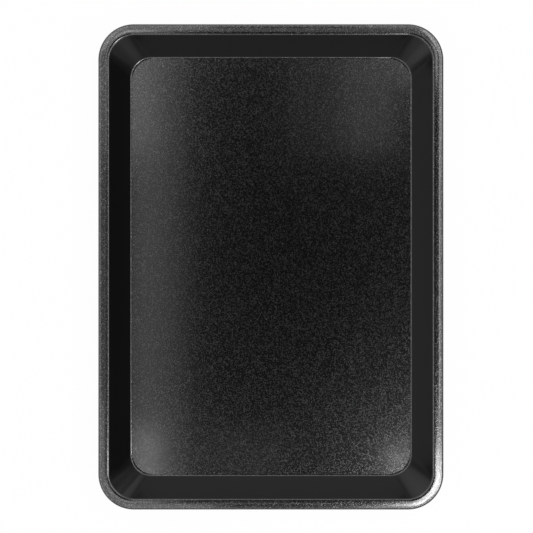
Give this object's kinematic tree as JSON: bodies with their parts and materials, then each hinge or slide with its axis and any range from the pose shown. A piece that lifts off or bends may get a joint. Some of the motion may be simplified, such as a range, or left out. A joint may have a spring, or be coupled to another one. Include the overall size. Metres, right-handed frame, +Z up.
{
  "type": "baking pan",
  "caption": "Shallow rectangular non-stick baking pan with flared walls, rounded corners and a rim rolled round a stiffening wire.",
  "frame": {"origin": "middle of the base's underside, on the surface that the pan rests on", "axes": "+X across the pan's width, +Y along its length, +Z up out of the open side"},
  "size_m": [0.31, 0.436, 0.0254],
  "materials": {
    "nonstick_coat": "satin non-stick coat with a fine grain, over pressed carbon steel",
    "rim_steel": "drawn wire"
  },
  "bodies": {
    "root": {"pan_shell": "nonstick_coat", "rim_wire": "rim_steel"}
  },
  "joints": []
}
